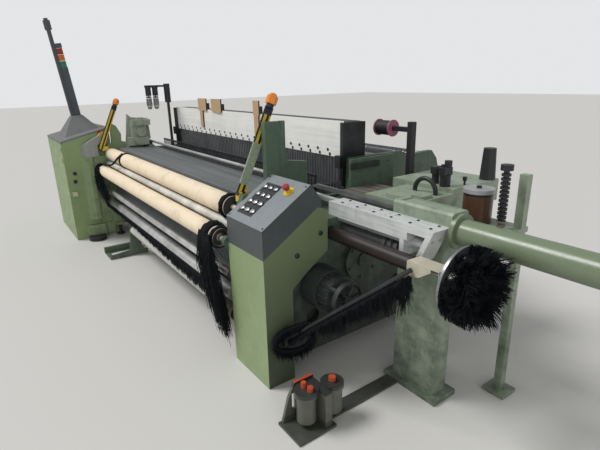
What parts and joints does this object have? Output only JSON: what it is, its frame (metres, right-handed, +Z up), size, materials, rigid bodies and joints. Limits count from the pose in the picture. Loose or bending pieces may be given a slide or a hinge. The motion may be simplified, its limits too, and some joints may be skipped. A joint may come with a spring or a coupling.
{
  "type": "rigid_rapier_loom",
  "caption": "Wide rigid rapier weaving machine with cast side frames, cloth rollers, heald frames, control console, signal column and a long rapier guide tube",
  "frame": {"origin": "Underside of the centre foot, on the floor below the middle of the weaving width, where the reed meets the cloth", "axes": "+X along the weaving width towards the rapier tube, +Y from the cloth side to the warp side, +Z up"},
  "size_m": [6.5393, 2.223, 2.263],
  "materials": {
    "green_paint": "satin green machine enamel",
    "dark_paint": "dark oily machine enamel",
    "grey_paint": "satin grey enamel",
    "bright_steel": "ground steel",
    "white_aluminium": "pale anodised aluminium",
    "beige_cover": "rough beige roller covering",
    "black_plastic": "matt black plastic",
    "red_plastic": "gloss red plastic",
    "yellow_paint": "yellow warning paint",
    "lamp_plastic": "clear coloured lamp plastic",
    "clip_wood": "plain light wood",
    "woven_cloth": "dark woven yarn",
    "yarn_ends": "loose black yarn ends"
  },
  "bodies": {
    "frame": {"left_side_frame": "green_paint", "right_side_frame": "green_paint", "cross_beams": "dark_paint", "breast_beam": "dark_paint", "levelling_feet": "grey_paint", "cabinet_body": "green_paint", "cabinet_lid": "grey_paint", "signal_column": "grey_paint", "signal_lenses": "lamp_plastic", "left_control_box": "grey_paint", "stop_collars": "yellow_paint", "lamp_posts": "yellow_paint", "warning_lamps": "lamp_plastic", "left_drive_housing": "green_paint", "yarn_stands": "dark_paint", "roll_stands": "green_paint", "cloth_web": "woven_cloth", "cloth_fringe": "yarn_ends", "temple_bar": "bright_steel", "harness_guides": "dark_paint", "warp_sheet": "woven_cloth", "drop_wire_rails": "dark_paint", "console_shell": "green_paint", "console_cap": "grey_paint", "console_keys": "black_plastic", "rapier_guide": "white_aluminium", "rapier_gear_box": "green_paint", "rapier_tube": "green_paint", "drive_motor": "dark_paint", "selvedge_beam": "dark_paint", "waste_guide_bar": "dark_paint", "oil_canisters": "grey_paint", "bobbin_pot": "black_plastic", "table_fittings": "dark_paint"},
    "door": {"cabinet_door": "green_paint"},
    "left_stop": {"left_stop_button": "red_plastic"},
    "console_stop": {"console_stop_button": "red_plastic"},
    "feeder_1": {"feeder_drum_1": "bright_steel"},
    "feeder_2": {"feeder_drum_2": "bright_steel"},
    "rear_roller_body": {"rear_roller": "beige_cover"},
    "press_roller_body": {"press_roller": "bright_steel"},
    "front_roller_body": {"front_roller": "beige_cover"},
    "draw_roller_body": {"draw_roller": "bright_steel"},
    "take_up_roller_body": {"take_up_roller": "bright_steel"},
    "cloth_roll_body": {"cloth_roll": "beige_cover"},
    "sley": {"sley_beam": "dark_paint", "reed": "bright_steel"},
    "heald_1": {"heald_frame_1": "white_aluminium", "stave_clips": "clip_wood"},
    "heald_2": {"heald_frame_2": "white_aluminium"},
    "heald_3": {"heald_frame_3": "white_aluminium"},
    "heald_4": {"heald_frame_4": "white_aluminium"},
    "heald_5": {"heald_frame_5": "white_aluminium"},
    "back_rest": {"back_rest_roller": "bright_steel"},
    "beam": {"warp_beam": "dark_paint"},
    "rapier": {"rapier_rod": "bright_steel"},
    "fan": {"motor_fan": "black_plastic"},
    "waste": {"waste_wheel": "bright_steel", "waste_fringe": "yarn_ends"},
    "spool": {"yarn_spool": "yarn_ends"}
  },
  "joints": [
    {"name": "cabinet_door_hinge", "type": "hinge", "parent": "frame", "child": "door", "pos_m": [-2.381, -0.967, 0], "axis": [0, 0, 1], "range_deg": [-110, 0]},
    {"name": "left_stop_press", "type": "slide", "parent": "frame", "child": "left_stop", "axis": [0, 0.4549, -0.8905], "range_m": [0, 0.0035], "stiffness_N_per_m": 3000},
    {"name": "console_stop_press", "type": "slide", "parent": "frame", "child": "console_stop", "axis": [0, 0.533, -0.8461], "range_m": [0, 0.0035], "stiffness_N_per_m": 3000},
    {"name": "feeder_1_spin", "type": "hinge", "parent": "frame", "child": "feeder_1", "pos_m": [-1.483, -0.04, 1.475], "axis": [0, 0, 1], "continuous": true},
    {"name": "feeder_2_spin", "type": "hinge", "parent": "frame", "child": "feeder_2", "pos_m": [-1.483, 0.036, 1.475], "axis": [0, 0, 1], "continuous": true},
    {"name": "rear_roller_spin", "type": "hinge", "parent": "frame", "child": "rear_roller_body", "pos_m": [0, -0.529, 0.897], "axis": [1, 0, 0], "continuous": true},
    {"name": "press_roller_spin", "type": "hinge", "parent": "frame", "child": "press_roller_body", "pos_m": [0, -0.56, 0.798], "axis": [1, 0, 0], "continuous": true},
    {"name": "front_roller_spin", "type": "hinge", "parent": "frame", "child": "front_roller_body", "pos_m": [0, -0.652, 0.75], "axis": [1, 0, 0], "continuous": true},
    {"name": "draw_roller_spin", "type": "hinge", "parent": "frame", "child": "draw_roller_body", "pos_m": [0, -0.63, 0.536], "axis": [1, 0, 0], "continuous": true},
    {"name": "take_up_roller_spin", "type": "hinge", "parent": "frame", "child": "take_up_roller_body", "pos_m": [0, -0.61, 0.398], "axis": [1, 0, 0], "continuous": true},
    {"name": "cloth_roll_spin", "type": "hinge", "parent": "frame", "child": "cloth_roll_body", "pos_m": [0, -0.6, 0.257], "axis": [1, 0, 0], "continuous": true},
    {"name": "sley_swing", "type": "hinge", "parent": "frame", "child": "sley", "pos_m": [0, 0.06, 0.48], "axis": [1, 0, 0], "range_deg": [0, 13], "stiffness_Nm_per_rad": 9000},
    {"name": "heald_1_lift", "type": "slide", "parent": "frame", "child": "heald_1", "axis": [0, 0, 1], "range_m": [-0.04, 0.04], "stiffness_N_per_m": 60000},
    {"name": "heald_2_lift", "type": "slide", "parent": "frame", "child": "heald_2", "axis": [0, 0, 1], "range_m": [-0.04, 0.04], "stiffness_N_per_m": 60000},
    {"name": "heald_3_lift", "type": "slide", "parent": "frame", "child": "heald_3", "axis": [0, 0, 1], "range_m": [-0.04, 0.04], "stiffness_N_per_m": 60000},
    {"name": "heald_4_lift", "type": "slide", "parent": "frame", "child": "heald_4", "axis": [0, 0, 1], "range_m": [-0.04, 0.04], "stiffness_N_per_m": 60000},
    {"name": "heald_5_lift", "type": "slide", "parent": "frame", "child": "heald_5", "axis": [0, 0, 1], "range_m": [-0.04, 0.04], "stiffness_N_per_m": 60000},
    {"name": "back_rest_spin", "type": "hinge", "parent": "frame", "child": "back_rest", "pos_m": [0, 1.01, 1.035], "axis": [1, 0, 0], "continuous": true},
    {"name": "warp_beam_spin", "type": "hinge", "parent": "frame", "child": "beam", "pos_m": [0, 0.83, 0.48], "axis": [1, 0, 0], "continuous": true},
    {"name": "rapier_slide", "type": "slide", "parent": "frame", "child": "rapier", "axis": [1, 0, 0], "range_m": [-1.45, 0]},
    {"name": "motor_fan_spin", "type": "hinge", "parent": "frame", "child": "fan", "pos_m": [2.096, -0.3, 0.522], "axis": [1, 0, 0], "continuous": true},
    {"name": "waste_wheel_spin", "type": "hinge", "parent": "frame", "child": "waste", "pos_m": [2.68, -0.2, 0.8], "axis": [1, 0, 0], "continuous": true},
    {"name": "yarn_spool_spin", "type": "hinge", "parent": "frame", "child": "spool", "pos_m": [1.465, 0.58, 1.285], "axis": [1, 0, 0], "continuous": true}
  ],
  "couplings": [
    {"joint": "rear_roller_spin", "follows": "take_up_roller_spin", "ratio": -0.69231},
    {"joint": "press_roller_spin", "follows": "take_up_roller_spin", "ratio": 1.5517},
    {"joint": "front_roller_spin", "follows": "take_up_roller_spin", "ratio": -0.78947},
    {"joint": "draw_roller_spin", "follows": "take_up_roller_spin", "ratio": 1.8}
  ]
}
